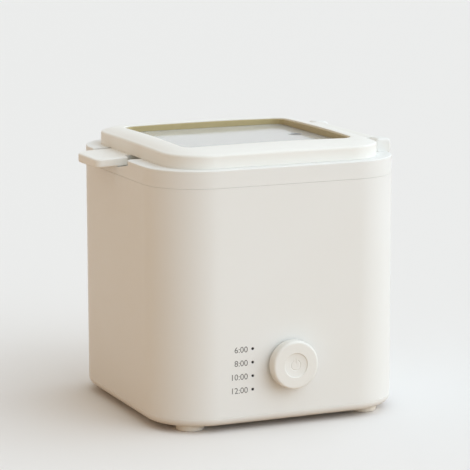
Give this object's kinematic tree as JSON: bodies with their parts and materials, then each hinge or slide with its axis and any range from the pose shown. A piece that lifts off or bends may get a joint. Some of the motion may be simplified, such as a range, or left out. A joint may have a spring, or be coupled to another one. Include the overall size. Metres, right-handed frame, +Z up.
{
  "type": "electric egg cooker",
  "caption": "Square countertop egg steamer with a hinged window lid, side lifting tab, push-and-turn knob, lift-out egg rack and short round feet.",
  "frame": {"origin": "on the upright centre line of the square body, in the plane of the four soles", "axes": "+Z up, -Y the front with the knob, +X the side with the lid hinge"},
  "size_m": [0.143, 0.1386, 0.1368],
  "materials": {
    "shell_plastic": "satin moulded, cream white",
    "lid_plastic": "satin moulded, cream white",
    "knob_plastic": "satin moulded, cream white",
    "foot_rubber": "matt moulded, pale",
    "gasket_silicone": "soft satin, khaki",
    "seal_silicone": "soft satin, translucent white",
    "window_glass": "clear, polished",
    "chamber_steel": "drawn and brushed",
    "rack_plastic": "satin moulded",
    "plate_aluminium": "turned",
    "pressed_steel": "plated",
    "screw_steel": "plated",
    "element_steel": "heat-darkened sheath",
    "inner_plastic": "dark moulded",
    "sensor_brass": "bright",
    "board_laminate": "lacquered laminate",
    "lamp_lens": "smoked, unlit",
    "inlet_plastic": "black moulded",
    "wire_sheath": "insulated"
  },
  "bodies": {
    "housing": {"outer_housing": "shell_plastic", "base_cover": "shell_plastic", "base_screws": "screw_steel", "foot_front_left": "foot_rubber", "foot_front_right": "foot_rubber", "foot_rear_left": "foot_rubber", "foot_rear_right": "foot_rubber", "top_collar": "shell_plastic", "hinge_pin": "pressed_steel", "steam_chamber": "chamber_steel", "chamber_screws": "screw_steel", "heating_plate": "plate_aluminium", "plate_seal": "seal_silicone", "plate_clamp": "pressed_steel", "clamp_screws": "screw_steel", "heating_element": "element_steel", "thermostat": "inner_plastic", "temperature_sensor": "sensor_brass", "thermal_fuse": "inner_plastic", "control_board": "board_laminate", "indicator_lamps": "lamp_lens", "light_guide": "lamp_lens", "encoder_body": "inner_plastic", "power_board": "board_laminate", "relay": "inner_plastic", "supply_transformer": "inner_plastic", "filter_capacitor": "inner_plastic", "power_inlet": "inlet_plastic", "inlet_pins": "sensor_brass", "mains_wires": "wire_sheath", "heater_wires": "wire_sheath", "sensor_cable": "wire_sheath", "link_cable": "wire_sheath"},
    "lid": {"lid_frame": "lid_plastic", "lid_window": "window_glass", "window_gasket": "gasket_silicone", "lid_retainer": "lid_plastic", "lid_screws": "screw_steel", "lid_seal": "seal_silicone", "lifting_tab": "lid_plastic", "tab_screws": "screw_steel"},
    "egg_tray": {"egg_rack": "rack_plastic"},
    "plunger": {"switch_plunger": "inner_plastic"},
    "dial": {"knob": "knob_plastic", "encoder_shaft": "pressed_steel"}
  },
  "joints": [
    {"name": "lid_hinge", "type": "hinge", "parent": "housing", "child": "lid", "pos_m": [0.0615, 0, 0.1313], "axis": [0, 1, 0], "range_deg": [0, 100]},
    {"name": "rack_lift", "type": "slide", "parent": "housing", "child": "egg_tray", "axis": [0, 0, 1], "range_m": [0, 0.06]},
    {"name": "knob_press", "type": "slide", "parent": "housing", "child": "plunger", "axis": [0, 1, 0], "range_m": [0, 0.0008], "stiffness_N_per_m": 2500, "springref_m": -0.0004},
    {"name": "knob_turn", "type": "hinge", "parent": "plunger", "child": "dial", "pos_m": [0, -0.0655, 0.0316], "axis": [0, 1, 0], "continuous": true}
  ]
}
